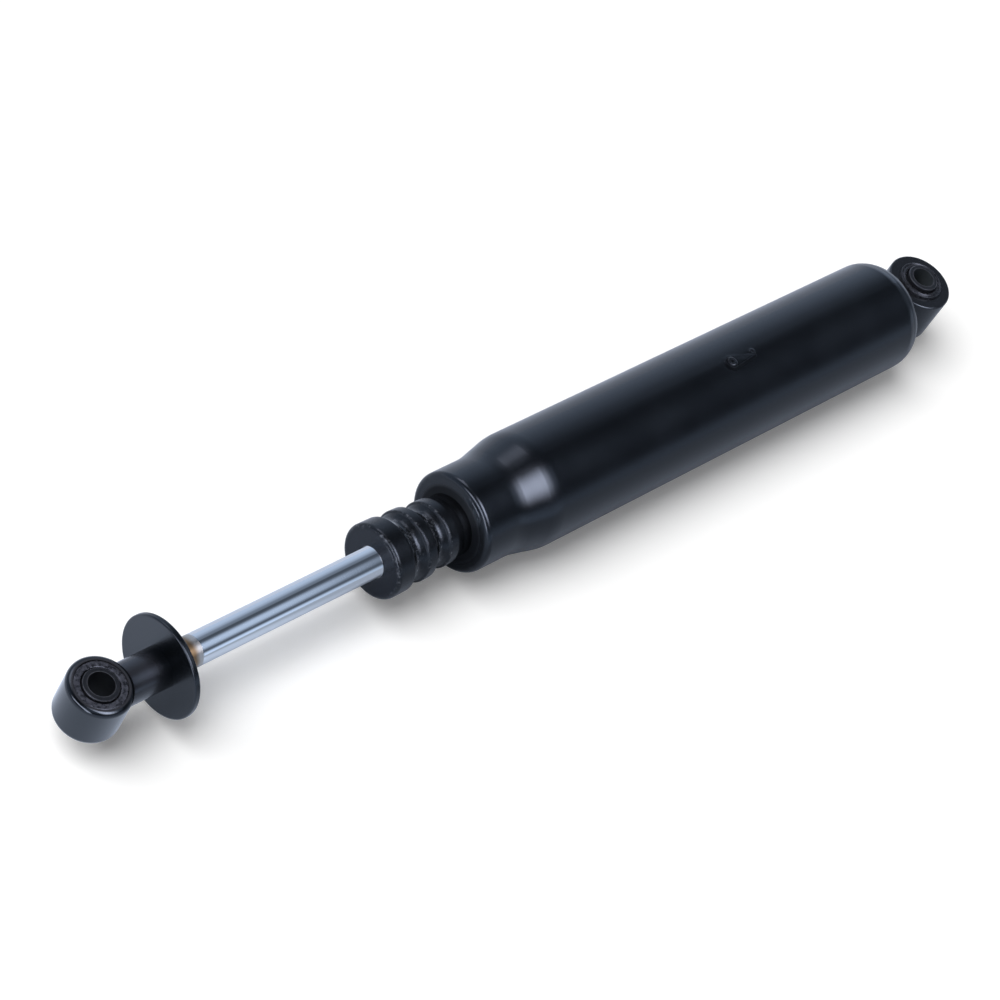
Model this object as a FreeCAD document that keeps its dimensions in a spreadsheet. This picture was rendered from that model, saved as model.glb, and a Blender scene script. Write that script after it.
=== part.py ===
"""Twin-tube gas shock absorber for a light utility vehicle, fully extended.

The origin is the centre of the base eye. +X runs along the shock towards the rod eye, and the bores of
both eyes lie along Z. Sizes are millimetres.
"""
import FreeCAD
import Part
import Sketcher
import math
import os
import re

# Driving sizes
SIZES = {
    # the shock as a whole
    "eye_spacing": 470.0,
    "base_standoff": 28.9,
    "washer_standoff": 29.9,
    "press_clearance": 0.05,
    "running_clearance": 0.05,
    "free_clearance": 0.4,
    # reservoir tube
    "tube_diameter": 49.2,
    "tube_wall": 1.6,
    "tube_length": 263.0,
    "roll_lip": 0.6,
    "neck_diameter": 42.3,
    "neck_length": 20.1,
    "shoulder_length": 16.2,
    "shoulder_round": 26.0,
    "rim_round": 2.4,
    "end_face_thickness": 1.8,
    "end_face_bore": 19.0,
    # gas filling hole and its weld
    "gas_fill_standoff": 109.6,
    "gas_fill_bore": 3.2,
    "gas_weld_diameter": 5.8,
    "gas_weld_height": 1.2,
    "gas_weld_crater": 2.4,
    # base cap
    "cap_thickness": 2.6,
    "cap_depth": 10.0,
    "cap_knuckle": 9.2,
    "cap_floor_round": 3.0,
    # eyes
    "bolt_bore": 10.2,
    "sleeve_diameter": 14.0,
    "sleeve_chamfer": 0.4,
    "bush_diameter": 20.6,
    "bush_bevel": 0.9,
    "base_ring_diameter": 30.0,
    "base_ring_length": 23.0,
    "base_ring_round": 0.8,
    "base_bush_length": 26.2,
    "base_sleeve_length": 29.6,
    "rod_ring_diameter": 25.6,
    "rod_ring_length": 20.4,
    "rod_ring_round": 2.2,
    "rod_bush_length": 19.4,
    "rod_sleeve_length": 21.0,
    "weld_gap": 0.2,
    "weld_foot_diameter": 23.4,
    "weld_top_diameter": 20.0,
    "weld_height": 4.2,
    # rod, stem and jounce washer
    "rod_diameter": 12.7,
    "rod_end_diameter": 10.0,
    "rod_tenon_diameter": 9.0,
    "rod_tip_length": 1.8,
    "rod_chamfer": 0.6,
    "stem_diameter": 16.5,
    "stem_socket_depth": 14.0,
    "washer_diameter": 41.2,
    "washer_thickness": 2.6,
    "washer_round": 0.7,
    # bump stop
    "bump_bore": 13.3,
    "bump_tail_diameter": 24.6,
    "bump_tail_length": 4.1,
    "bump_tail_ramp": 3.8,
    "bump_small_rib_diameter": 27.8,
    "bump_large_rib_diameter": 29.9,
    "bump_rib_length": 4.3,
    "bump_rib_rise": 0.2,
    "bump_rib_round": 0.8,
    "bump_groove_width": 8.3,
    "bump_groove_depth": 3.1,
    "bump_groove_round": 4.0,
    "bump_head_diameter": 31.5,
    "bump_head_length": 8.9,
    "bump_head_round": 1.8,
    # seal and rod guide
    "cover_thickness": 1.5,
    "cover_bore": 14.4,
    "seal_height": 8.0,
    "seal_lip_width": 0.8,
    "seal_throat_diameter": 16.6,
    "seal_foot_diameter": 21.0,
    "seal_foot_depth": 3.8,
    "guide_flange_length": 11.0,
    "guide_spigot_length": 12.0,
    "guide_recess_depth": 4.5,
    "guide_bush_length": 14.0,
    "guide_bush_wall": 1.45,
    "guide_bush_inset": 1.0,
    # working cylinder
    "bore_diameter": 32.0,
    "pressure_tube_wall": 1.2,
    # rebound stop
    "rebound_bumper_length": 6.0,
    "rebound_bumper_diameter": 25.0,
    "collar_length": 4.0,
    "collar_diameter": 22.0,
    "rod_shoulder_standoff": 21.8,
    # check valves of the piston and the base valve
    "check_boss_diameter": 12.4,
    "check_boss_height": 2.0,
    "check_plate_bore": 19.2,
    "check_plate_diameter": 29.2,
    "check_plate_thickness": 0.8,
    "check_spring_thickness": 0.4,
    "check_spring_diameter": 26.0,
    "finger_slot_width": 3.0,
    "finger_root_diameter": 15.0,
    "intake_pitch_diameter": 23.6,
    "intake_hole": 3.4,
    "bleed_pitch_diameter": 15.8,
    "bleed_hole": 2.4,
    "disc_stack": 1.6,
    "disc_diameter": 19.6,
    # piston
    "piston_length": 16.0,
    "piston_edge": 4.0,
    "band_width": 7.7,
    "band_thickness": 1.3,
    "band_play": 0.3,
    "support_washer_thickness": 2.2,
    "support_washer_diameter": 20.0,
    "clamp_washer_thickness": 2.0,
    "clamp_washer_diameter": 17.0,
    "piston_nut_flats": 14.0,
    "piston_nut_height": 7.0,
    # base valve
    "valve_height": 16.2,
    "valve_flange": 4.0,
    "valve_spigot": 6.0,
    "valve_skirt_bore": 29.0,
    "valve_notch_width": 8.0,
    "valve_notch_height": 8.0,
    "valve_bolt_diameter": 6.0,
    "valve_bolt_head_diameter": 12.0,
    "valve_bolt_head_height": 3.0,
    "valve_bolt_tip": 1.0,
    "valve_nut_flats": 10.0,
    "valve_nut_height": 5.0,
}

# Radii and places along X that follow from the driving sizes
PLACES = {
    # reservoir tube
    "tube_radius": "tube_diameter / 2",
    "tube_inner_radius": "tube_radius - tube_wall",
    "neck_radius": "neck_diameter / 2",
    "neck_inner_radius": "neck_radius - tube_wall",
    "neck_fit_radius": "neck_inner_radius - press_clearance",
    "tube_end": "base_standoff + tube_length",
    "neck_start": "tube_end - neck_length",
    "shoulder_start": "neck_start - shoulder_length",
    "end_inner": "tube_end - end_face_thickness",
    "gas_fill": "base_standoff + gas_fill_standoff",
    # base cap, whose wall runs at 45 degrees from floor to skirt
    "bevel_share": "tan(22.5)",
    "slant_share": "cos(45)",
    "cap_floor": "base_ring_diameter / 2 + weld_gap",
    "cap_inner_floor": "cap_floor + cap_thickness",
    "cap_knee": "base_standoff - bevel_share * cap_knuckle",
    "cap_floor_radius": "cap_radius - (cap_knee - cap_floor)",
    "cap_inner_floor_radius": "cap_floor_radius - bevel_share * cap_thickness",
    "cap_radius": "tube_inner_radius - press_clearance",
    "cap_inner_radius": "cap_radius - cap_thickness",
    "cap_inner_knee": "cap_knee + bevel_share * cap_thickness",
    "cap_end": "base_standoff + cap_depth",
    # end of the tube, rolled over the cap
    "roll_inner_round": "cap_knuckle + press_clearance",
    "roll_inner_corner": "base_standoff - bevel_share * roll_inner_round",
    "roll_round": "roll_inner_round + tube_wall",
    "roll_corner": "base_standoff - bevel_share * roll_round",
    "roll_drop": "slant_share * (bevel_share * roll_round + roll_lip)",
    "roll_end": "roll_corner - roll_drop",
    "roll_end_radius": "tube_radius - roll_drop",
    "roll_thickness": "slant_share * tube_wall",
    # eyes
    "sleeve_radius": "sleeve_diameter / 2",
    "bush_radius": "bush_diameter / 2",
    "bush_fit_radius": "bush_radius - press_clearance",
    "bush_bore_radius": "sleeve_radius + running_clearance",
    "rod_ring_radius": "rod_ring_diameter / 2",
    # rod end
    "rod_radius": "rod_diameter / 2",
    "rod_running_radius": "rod_radius + running_clearance",
    "rod_press_radius": "rod_radius + press_clearance",
    "rod_end_radius": "rod_end_diameter / 2",
    "rod_end_press_radius": "rod_end_radius + press_clearance",
    "tenon_radius": "rod_tenon_diameter / 2",
    "tenon_press_radius": "tenon_radius + press_clearance",
    "washer_outer": "eye_spacing - washer_standoff",
    "washer_inner": "washer_outer - washer_thickness",
    "stem_socket_end": "washer_outer + stem_socket_depth",
    # bump stop, from its seat on the tube outwards
    "bump_seat": "tube_end + free_clearance",
    "bump_tail_end": "bump_seat + bump_tail_length",
    "bump_rib_a": "bump_tail_end + bump_tail_ramp",
    "bump_rib_a_end": "bump_rib_a + bump_rib_length",
    "bump_rib_b": "bump_rib_a_end + bump_groove_width",
    "bump_rib_b_end": "bump_rib_b + bump_rib_length",
    "bump_head": "bump_rib_b_end + bump_groove_width",
    "bump_end": "bump_head + bump_head_length",
    # seal, guide and rebound stop, from the tube's end inwards
    "cover_inner": "end_inner - cover_thickness",
    "guide_top": "cover_inner - seal_height",
    "guide_seat": "guide_top - guide_flange_length",
    "guide_bottom": "guide_seat - guide_spigot_length",
    "guide_recess": "guide_top - guide_recess_depth",
    "guide_bush_start": "guide_bottom + guide_bush_inset",
    "guide_bush_end": "guide_bush_start + guide_bush_length",
    "guide_bush_radius": "rod_running_radius + guide_bush_wall",
    "guide_bore_radius": "guide_bush_radius + press_clearance",
    "guide_throat_radius": "cover_bore / 2",
    "seal_foot_radius": "seal_foot_diameter / 2",
    "seal_throat_radius": "seal_throat_diameter / 2",
    "bumper_top": "guide_bottom - free_clearance",
    "collar_top": "bumper_top - rebound_bumper_length",
    "collar_bottom": "collar_top - collar_length",
    # piston stack, from the rod's shoulder to its tip
    "bore_radius": "bore_diameter / 2",
    "spigot_radius": "bore_radius - press_clearance",
    "pressure_tube_radius": "bore_radius + pressure_tube_wall",
    "piston_radius": "bore_radius - free_clearance",
    "rod_shoulder": "collar_bottom - rod_shoulder_standoff",
    "piston_spring_top": "rod_shoulder - support_washer_thickness",
    "piston_boss_top": "piston_spring_top - check_spring_thickness",
    "piston_top": "piston_boss_top - check_boss_height",
    "piston_bottom": "piston_top - piston_length",
    "band_start": "piston_bottom + piston_edge",
    "band_end": "band_start + band_width",
    "band_radius": "bore_radius - running_clearance",
    "band_inner_radius": "band_radius - band_thickness",
    "rebound_discs_end": "piston_bottom - disc_stack",
    "piston_clamp_end": "rebound_discs_end - clamp_washer_thickness",
    "piston_nut_end": "piston_clamp_end - piston_nut_height",
    "rod_tip": "piston_nut_end - rod_tip_length",
    # base valve, from the cap towards the piston
    "check_boss_radius": "check_boss_diameter / 2",
    "check_plate_radius": "check_plate_diameter / 2",
    "check_spring_radius": "check_spring_diameter / 2",
    "disc_radius": "disc_diameter / 2",
    "valve_skirt_radius": "valve_skirt_bore / 2",
    "valve_foot": "cap_inner_floor + press_clearance",
    "valve_skirt_inner_foot": "valve_foot + valve_skirt_radius - cap_inner_floor_radius",
    "valve_skirt_outer_foot": "valve_foot + pressure_tube_radius - cap_inner_floor_radius",
    "valve_disc": "cap_inner_floor + valve_height",
    "pressure_tube_base": "valve_disc + valve_flange",
    "valve_top": "pressure_tube_base + valve_spigot",
    "valve_boss_top": "valve_top + check_boss_height",
    "valve_bolt_head": "valve_boss_top + check_spring_thickness",
    "valve_bolt_top": "valve_bolt_head + valve_bolt_head_height",
    "valve_bolt_radius": "valve_bolt_diameter / 2",
    "valve_hole_radius": "valve_bolt_radius + press_clearance",
    "valve_discs_end": "valve_disc - disc_stack",
    "valve_nut_end": "valve_discs_end - valve_nut_height",
    "valve_bolt_tip_end": "valve_nut_end - valve_bolt_tip",
}

INTAKE_HOLES = 6
BLEED_HOLES = 4
SPRING_FINGERS = 6
SKIRT_NOTCHES = 4
ALONG_X = FreeCAD.Rotation(FreeCAD.Vector(0, 1, 0), 90)

doc = FreeCAD.newDocument("shock_absorber")
sub_parts = []


def formula(text):
    """The text with each size and place written as a cell of its sheet."""

    def cell(match):
        word = match.group(0)
        if word in SIZES:
            return "Sizes." + word
        if word in PLACES:
            return "Places." + word
        return word

    return re.sub(r"[a-z_]+", cell, text)


def fill_sheet(name, cells):
    """A sheet with the name and the value of each size, one row each."""
    sheet = doc.addObject("Spreadsheet::Sheet", name)
    for row, (word, content) in enumerate(cells.items(), start=1):
        sheet.set(f"A{row}", word)
        sheet.set(f"B{row}", content)
        sheet.setAlias(f"B{row}", word)
    doc.recompute()
    return sheet


sizes = fill_sheet("Sizes", {word: str(size) for word, size in SIZES.items()})
fill_sheet("Places", {word: "=" + formula(text) for word, text in PLACES.items()})


def value(text):
    return float(sizes.evalExpression(formula(text)))


# Sketches and features


def new_body(label):
    body = doc.addObject("PartDesign::Body", label)
    body.Label = label
    sub_parts.append(body)
    return body


def new_sketch(body, name, plane):
    sketch = body.newObject("Sketcher::SketchObject", f"{body.Label}_{name}")
    origin_plane = next(o for o in body.Origin.OriginFeatures if o.Role == plane)
    sketch.AttachmentSupport = (origin_plane, [""])
    sketch.MapMode = "FlatFace"
    return sketch


def dimension(sketch, kind, text, *geometry):
    """A constraint of this kind that follows the formula in text."""
    index = sketch.addConstraint(Sketcher.Constraint(kind, *geometry, value(text)))
    sketch.setExpression(f"Constraints[{index}]", formula(text))


def pin_point(sketch, geometry, end, across, up):
    """Holds a point at its distances from the sketch's origin."""
    for kind, text, axis in (("DistanceX", across, -2), ("DistanceY", up, -1)):
        if text == "0":
            sketch.addConstraint(Sketcher.Constraint("PointOnObject", geometry, end, axis))
        else:
            dimension(sketch, kind, text, -1, 1, geometry, end)


def corner_arc(before, corner, after, radius):
    """The arc that rounds a corner, its two tangent points and whether it turns left."""
    back = (before - corner).normalize()
    ahead = (after - corner).normalize()
    half = back.getAngle(ahead) / 2
    reach = radius / math.tan(half)
    enter = corner + back * reach
    leave = corner + ahead * reach
    centre = corner + (back + ahead).normalize() * (radius / math.sin(half))
    left = back.cross(ahead).z < 0
    first, last = (enter, leave) if left else (leave, enter)
    angles = [math.atan2(p.y - centre.y, p.x - centre.x) for p in (first, last)]
    circle = Part.Circle(centre, FreeCAD.Vector(0, 0, 1), radius)
    return Part.ArcOfCircle(circle, *angles), enter, leave, left


def outline(sketch, corners):
    """A closed outline through corners (across, up) or (across, up, rounding), given as formulas."""
    points = [FreeCAD.Vector(value(c[0]), value(c[1]), 0) for c in corners]
    count = len(points)
    arcs = {}
    for i, corner in enumerate(corners):
        if len(corner) == 3:
            arcs[i] = corner_arc(points[i - 1], points[i], points[(i + 1) % count], value(corner[2]))
    lines = []
    for i in range(count):
        start = arcs[i][2] if i in arcs else points[i]
        after = (i + 1) % count
        end = arcs[after][1] if after in arcs else points[after]
        lines.append(sketch.addGeometry(Part.LineSegment(start, end), False))
    for i, corner in enumerate(corners):
        before, line = lines[i - 1], lines[i]
        if i not in arcs:
            sketch.addConstraint(Sketcher.Constraint("Coincident", before, 2, line, 1))
            pin_point(sketch, line, 1, corner[0], corner[1])
            continue
        shape, _, _, left = arcs[i]
        arc = sketch.addGeometry(shape, False)
        first, last = (1, 2) if left else (2, 1)
        sketch.addConstraint(Sketcher.Constraint("Tangent", before, 2, arc, first))
        sketch.addConstraint(Sketcher.Constraint("Tangent", arc, last, line, 1))
        dimension(sketch, "Radius", corner[2], arc)
        mark = sketch.addGeometry(Part.Point(points[i]), True)
        pin_point(sketch, mark, 1, corner[0], corner[1])
        sketch.addConstraint(Sketcher.Constraint("PointOnObject", mark, 1, before))
        sketch.addConstraint(Sketcher.Constraint("PointOnObject", mark, 1, line))


def revolved(label, corners, axis="H_Axis"):
    """A turned piece: its half section in the XZ plane, turned about X (H_Axis) or Z (V_Axis)."""
    body = new_body(label)
    sketch = new_sketch(body, "section", "XZ_Plane")
    outline(sketch, corners)
    turn = body.newObject("PartDesign::Revolution", f"{label}_turn")
    turn.Profile = sketch
    turn.ReferenceAxis = (sketch, [axis])
    turn.Angle = 360
    return body


def turned_ring(label, start, end, inner, outer):
    """A plain ring about X between two places and two radii."""
    return revolved(label, [(start, inner), (end, inner), (end, outer), (start, outer)])


def pocket(body, sketch):
    """Cuts the sketch through the body along the sketch's own normal, and checks that it cuts."""
    doc.recompute()
    volume = body.Shape.Volume
    cut = body.newObject("PartDesign::Pocket", f"{sketch.Name}_cut")
    cut.Profile = sketch
    cut.Type = "ThroughAll"
    cut.Reversed = True
    doc.recompute()
    if body.Shape.Volume >= volume:
        raise RuntimeError(f"{cut.Name} cuts nothing")
    return cut


def repeat_about_x(body, cut, count):
    """Repeats a cut evenly round X."""
    pattern = body.newObject("PartDesign::PolarPattern", f"{cut.Name}_pattern")
    pattern.Originals = [cut]
    pattern.Axis = (next(o for o in body.Origin.OriginFeatures if o.Role == "X_Axis"), [""])
    pattern.Angle = 360
    pattern.Occurrences = count
    body.Tip = pattern


def ring_of_holes(body, name, pitch_diameter, hole, count):
    """Holes along X, evenly spaced on a pitch circle."""
    sketch = new_sketch(body, name, "YZ_Plane")
    centre = FreeCAD.Vector(value(pitch_diameter) / 2, 0, 0)
    circle = sketch.addGeometry(Part.Circle(centre, FreeCAD.Vector(0, 0, 1), value(hole) / 2), False)
    sketch.addConstraint(Sketcher.Constraint("PointOnObject", circle, 3, -1))
    dimension(sketch, "DistanceX", f"{pitch_diameter} / 2", -1, 1, circle, 3)
    dimension(sketch, "Diameter", hole, circle)
    repeat_about_x(body, pocket(body, sketch), count)


def primitive(kind, name, place, **formulas):
    """A Part primitive along X that starts at this place, with its sizes as formulas."""
    solid = doc.addObject(kind, name)
    solid.Placement = FreeCAD.Placement(FreeCAD.Vector(), ALONG_X)
    solid.setExpression("Placement.Base.x", formula(place))
    for size, text in formulas.items():
        solid.setExpression(size, formula(text))
    return solid


def upright_cylinder(name, place, radius, height):
    """A cylinder along Z, centred on the shock's axis at this place."""
    solid = doc.addObject("Part::Cylinder", name)
    solid.setExpression("Placement.Base.x", formula(place))
    solid.setExpression("Placement.Base.z", formula(f"-({height}) / 2"))
    solid.setExpression("Radius", formula(radius))
    solid.setExpression("Height", formula(height))
    return solid


def cut_from(label, base, *tools):
    """The base less each tool, as a sub-part."""
    result = base
    for tool in tools:
        step = doc.addObject("Part::Cut", f"{label}_cut")
        step.Base = result
        step.Tool = tool
        result = step
    result.Label = label
    sub_parts.append(result)
    return result


# Reservoir tube and base


def make_reservoir_tube():
    tube = revolved("reservoir_tube", [
        ("roll_end + roll_thickness", "roll_end_radius - roll_thickness"),
        ("roll_end", "roll_end_radius"),
        ("roll_corner", "tube_radius", "roll_round"),
        ("shoulder_start", "tube_radius", "shoulder_round"),
        ("neck_start", "neck_radius", "shoulder_round"),
        ("tube_end", "neck_radius", "rim_round"),
        ("tube_end", "end_face_bore / 2"),
        ("end_inner", "end_face_bore / 2"),
        ("end_inner", "neck_inner_radius"),
        ("neck_start", "neck_inner_radius", "shoulder_round"),
        ("shoulder_start", "tube_inner_radius", "shoulder_round"),
        ("roll_inner_corner", "tube_inner_radius", "roll_inner_round"),
    ])
    sketch = new_sketch(tube, "gas_hole", "XY_Plane")
    centre = FreeCAD.Vector(value("gas_fill"), 0, 0)
    hole = Part.Circle(centre, FreeCAD.Vector(0, 0, 1), value("gas_fill_bore") / 2)
    circle = sketch.addGeometry(hole, False)
    sketch.addConstraint(Sketcher.Constraint("PointOnObject", circle, 3, -1))
    dimension(sketch, "DistanceX", "gas_fill", -1, 1, circle, 3)
    dimension(sketch, "Diameter", "gas_fill_bore", circle)
    pocket(tube, sketch)


def make_gas_fill_weld():
    plug = "gas_fill_bore / 2 - press_clearance"
    head = "gas_weld_diameter / 2"
    crown = "tube_radius + gas_weld_height"
    weld = revolved("gas_fill_weld", [
        ("0", "tube_inner_radius"),
        (plug, "tube_inner_radius"),
        (plug, "tube_radius"),
        (head, "tube_radius"),
        (head, "tube_radius + gas_weld_height / 3"),
        ("gas_weld_crater / 2", crown),
        ("0", "tube_radius + gas_weld_height / 2"),
    ], "V_Axis")
    weld.setExpression("Placement.Base.x", formula("gas_fill"))


def make_base_cap():
    revolved("base_cap", [
        ("cap_floor", "0"),
        ("cap_floor", "cap_floor_radius", "cap_floor_round"),
        ("cap_knee", "cap_radius", "cap_knuckle"),
        ("cap_end", "cap_radius"),
        ("cap_end", "cap_inner_radius"),
        ("cap_inner_knee", "cap_inner_radius", "cap_knuckle - cap_thickness"),
        ("cap_inner_floor", "cap_inner_floor_radius"),
        ("cap_inner_floor", "0"),
    ])


def make_base_eye_weld():
    collar = primitive("Part::Cone", "weld_collar", "cap_floor - weld_height",
                       Radius1="weld_top_diameter / 2", Radius2="weld_foot_diameter / 2",
                       Height="weld_height")
    eye = upright_cylinder("weld_eye", "0", "base_ring_diameter / 2 + press_clearance / 2",
                           "2 * base_ring_diameter")
    cut_from("base_eye_weld", collar, eye)


# Eyes


def make_eye(end, place):
    """The ring, rubber bush and steel sleeve of one eye, with the bore along Z."""
    ring = f"{end}_ring_diameter / 2"
    ring_top = f"{end}_ring_length / 2"
    rounding = f"{end}_ring_round"
    face = f"{end}_bush_length / 2"
    bevel = f"{face} - bush_bevel"
    sleeve_top = f"{end}_sleeve_length / 2"
    eye_parts = [
        revolved(f"{end}_eye_ring", [
            ("bush_radius", f"-{ring_top}"),
            (ring, f"-{ring_top}", rounding),
            (ring, ring_top, rounding),
            ("bush_radius", ring_top),
        ], "V_Axis"),
        revolved(f"{end}_eye_bush", [
            ("bush_bore_radius", f"-({bevel})"),
            ("bush_bore_radius + bush_bevel", f"-({face})"),
            ("bush_fit_radius - bush_bevel", f"-({face})"),
            ("bush_fit_radius", f"-({bevel})"),
            ("bush_fit_radius", bevel),
            ("bush_fit_radius - bush_bevel", face),
            ("bush_bore_radius + bush_bevel", face),
            ("bush_bore_radius", bevel),
        ], "V_Axis"),
        revolved(f"{end}_eye_sleeve", [
            ("bolt_bore / 2", f"-{sleeve_top}"),
            ("sleeve_radius - sleeve_chamfer", f"-{sleeve_top}"),
            ("sleeve_radius", f"-({sleeve_top} - sleeve_chamfer)"),
            ("sleeve_radius", f"{sleeve_top} - sleeve_chamfer"),
            ("sleeve_radius - sleeve_chamfer", sleeve_top),
            ("bolt_bore / 2", sleeve_top),
        ], "V_Axis"),
    ]
    if place:
        for part in eye_parts:
            part.setExpression("Placement.Base.x", formula(place))


# Rod side


def make_rod_end():
    revolved("jounce_washer", [
        ("washer_inner", "rod_end_press_radius"),
        ("washer_outer", "rod_end_press_radius"),
        ("washer_outer", "washer_diameter / 2", "washer_round"),
        ("washer_inner", "washer_diameter / 2", "washer_round"),
    ])
    stem = primitive("Part::Cylinder", "stem_bar", "washer_outer", Radius="stem_diameter / 2",
                     Height="washer_standoff")
    socket = primitive("Part::Cylinder", "stem_socket", "washer_outer", Radius="rod_end_press_radius",
                       Height="stem_socket_depth")
    saddle = upright_cylinder("stem_saddle", "eye_spacing", "rod_ring_radius + press_clearance / 2",
                              "2 * stem_diameter")
    cut_from("rod_eye_stem", stem, socket, saddle)


def make_piston_rod():
    revolved("piston_rod", [
        ("rod_tip", "0"),
        ("rod_tip", "tenon_radius - rod_chamfer"),
        ("rod_tip + rod_chamfer", "tenon_radius"),
        ("rod_shoulder", "tenon_radius"),
        ("rod_shoulder", "rod_radius"),
        ("washer_inner", "rod_radius"),
        ("washer_inner", "rod_end_radius"),
        ("stem_socket_end - rod_chamfer", "rod_end_radius"),
        ("stem_socket_end", "rod_end_radius - rod_chamfer"),
        ("stem_socket_end", "0"),
    ])


def make_bump_stop():
    """A rubber bumper with two ribs and a head, and a wide round groove behind each front edge."""
    tail = "bump_tail_diameter / 2"
    small = "bump_small_rib_diameter / 2"
    large = "bump_large_rib_diameter / 2"
    head = "bump_head_diameter / 2"
    half_groove = "bump_groove_width / 2"
    revolved("bump_stop", [
        ("bump_seat", "bump_bore / 2"),
        ("bump_end", "bump_bore / 2"),
        ("bump_end", head, "bump_head_round"),
        ("bump_head", f"{head} - bump_rib_rise", "bump_rib_round"),
        (f"bump_head - {half_groove}", f"{large} - bump_groove_depth", "bump_groove_round"),
        ("bump_rib_b_end", large, "bump_rib_round"),
        ("bump_rib_b", f"{large} - bump_rib_rise", "bump_rib_round"),
        (f"bump_rib_b - {half_groove}", f"{small} - bump_groove_depth", "bump_groove_round"),
        ("bump_rib_a_end", small, "bump_rib_round"),
        ("bump_rib_a", f"{small} - bump_rib_rise", "bump_rib_round"),
        ("bump_tail_end", tail, "bump_rib_round"),
        ("bump_seat", tail),
    ])


# Seal, guide, rebound stop and working cylinder


def make_neck_pieces():
    lip = "seal_lip_width"
    turned_ring("seal_cover", "cover_inner", "end_inner", "cover_bore / 2", "neck_fit_radius")
    revolved("rod_seal", [
        ("guide_top", "neck_fit_radius"),
        ("cover_inner", "neck_fit_radius"),
        ("cover_inner", "seal_throat_radius"),
        (f"cover_inner - {lip}", "rod_running_radius"),
        (f"cover_inner - 2 * {lip}", "rod_running_radius"),
        (f"cover_inner - 4 * {lip}", "seal_throat_radius"),
        ("guide_top", "seal_throat_radius"),
        (f"guide_top - seal_foot_depth + 2 * {lip}", "rod_running_radius"),
        (f"guide_top - seal_foot_depth + {lip}", "rod_running_radius"),
        ("guide_top - seal_foot_depth", "seal_throat_radius"),
        ("guide_top - seal_foot_depth", "seal_foot_radius"),
        ("guide_top", "seal_foot_radius"),
    ])
    revolved("rod_guide", [
        ("guide_bottom", "guide_bore_radius"),
        ("guide_bottom", "spigot_radius"),
        ("guide_seat", "spigot_radius"),
        ("guide_seat", "neck_fit_radius"),
        ("guide_top", "neck_fit_radius"),
        ("guide_top", "seal_foot_radius + press_clearance"),
        ("guide_recess", "seal_foot_radius + press_clearance"),
        ("guide_recess", "guide_throat_radius"),
        ("guide_bush_end", "guide_throat_radius"),
        ("guide_bush_end", "guide_bore_radius"),
    ])
    turned_ring("guide_bush", "guide_bush_start", "guide_bush_end", "rod_running_radius",
                "guide_bush_radius")
    turned_ring("rebound_bumper", "collar_top", "bumper_top", "rod_press_radius",
                "rebound_bumper_diameter / 2")
    turned_ring("rebound_collar", "collar_bottom", "collar_top", "rod_press_radius",
                "collar_diameter / 2")
    turned_ring("pressure_tube", "pressure_tube_base", "guide_seat", "bore_radius",
                "pressure_tube_radius")


# Valves


def make_check_spring(label, boss_top, plate_top, bore):
    """A star spring: clamped flat on a boss, with fingers that press the check plate on its seat."""
    spring = revolved(label, [
        (boss_top, bore),
        (boss_top, "check_boss_radius"),
        (plate_top, "check_spring_radius"),
        (f"{plate_top} + check_spring_thickness", "check_spring_radius"),
        (f"{boss_top} + check_spring_thickness", "check_boss_radius"),
        (f"{boss_top} + check_spring_thickness", bore),
    ])
    sketch = new_sketch(spring, "slot", "YZ_Plane")
    half = "finger_slot_width / 2"
    outline(sketch, [
        ("finger_root_diameter / 2", f"-{half}"),
        ("check_spring_diameter", f"-{half}"),
        ("check_spring_diameter", half),
        ("finger_root_diameter / 2", half),
    ])
    repeat_about_x(spring, pocket(spring, sketch), SPRING_FINGERS)


def make_check_plate(label, seat):
    turned_ring(label, seat, f"{seat} + check_plate_thickness", "check_plate_bore / 2",
                "check_plate_radius")


def make_piston():
    groove = "band_inner_radius - band_play"
    piston = revolved("piston", [
        ("piston_bottom", "tenon_press_radius"),
        ("piston_bottom", "piston_radius"),
        ("band_start - band_play / 2", "piston_radius"),
        ("band_start - band_play / 2", groove),
        ("band_end + band_play / 2", groove),
        ("band_end + band_play / 2", "piston_radius"),
        ("piston_top", "piston_radius"),
        ("piston_top", "check_boss_radius"),
        ("piston_boss_top", "check_boss_radius"),
        ("piston_boss_top", "tenon_press_radius"),
    ])
    ring_of_holes(piston, "intake", "intake_pitch_diameter", "intake_hole", INTAKE_HOLES)
    ring_of_holes(piston, "bleed", "bleed_pitch_diameter", "bleed_hole", BLEED_HOLES)
    turned_ring("piston_band", "band_start", "band_end", "band_inner_radius", "band_radius")
    make_check_plate("piston_check_plate", "piston_top")
    make_check_spring("piston_check_spring", "piston_boss_top", "piston_top + check_plate_thickness",
                      "tenon_press_radius")
    turned_ring("piston_support_washer", "piston_spring_top", "rod_shoulder", "tenon_press_radius",
                "support_washer_diameter / 2")
    turned_ring("rebound_discs", "rebound_discs_end", "piston_bottom", "tenon_press_radius",
                "disc_radius")
    turned_ring("piston_clamp_washer", "piston_clamp_end", "rebound_discs_end", "tenon_press_radius",
                "clamp_washer_diameter / 2")
    make_nut("piston_nut", "piston_nut_end", "piston_nut_height", "piston_nut_flats",
             "tenon_press_radius")


def make_nut(label, start, height, flats, bore):
    hexagon = primitive("Part::Prism", f"{label}_hexagon", start, Height=height,
                        Circumradius=f"{flats} / sqrt(3)")
    hole = primitive("Part::Cylinder", f"{label}_hole", start, Radius=bore, Height=height)
    cut_from(label, hexagon, hole)


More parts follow.
